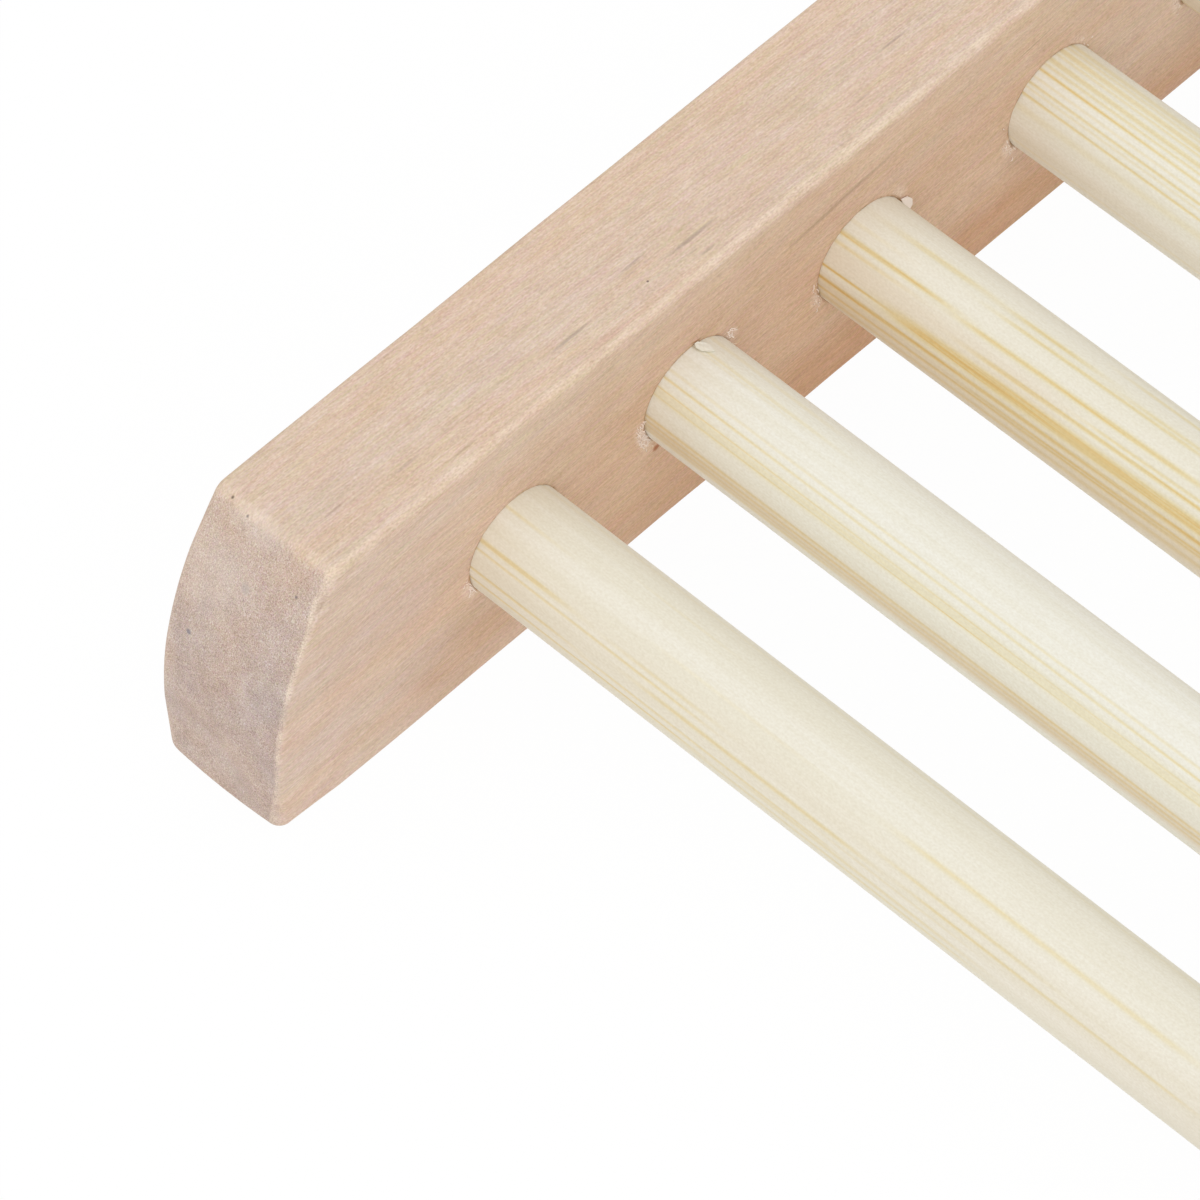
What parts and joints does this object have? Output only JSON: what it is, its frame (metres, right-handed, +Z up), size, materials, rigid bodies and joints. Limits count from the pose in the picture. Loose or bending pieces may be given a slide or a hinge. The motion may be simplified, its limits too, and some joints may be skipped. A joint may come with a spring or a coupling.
{
  "type": "soap dish",
  "caption": "Ladder-type wooden soap dish: two straight rails with rounded ends, joined by a row of round bamboo dowels that hold the soap and let water drain.",
  "frame": {"origin": "on the resting plane, under the middle of the dish's outline", "axes": "+X along the rails, +Y along the dowels towards the rear rail, +Z up"},
  "size_m": [0.125, 0.0882, 0.0193],
  "materials": {
    "rail_wood": "sanded, unvarnished",
    "bamboo": "smooth turned, unvarnished"
  },
  "bodies": {
    "root": {"rear_rail": "rail_wood", "front_rail": "rail_wood", "dowel_1": "bamboo", "dowel_2": "bamboo", "dowel_3": "bamboo", "dowel_4": "bamboo", "dowel_5": "bamboo", "dowel_6": "bamboo", "dowel_7": "bamboo"}
  },
  "joints": []
}
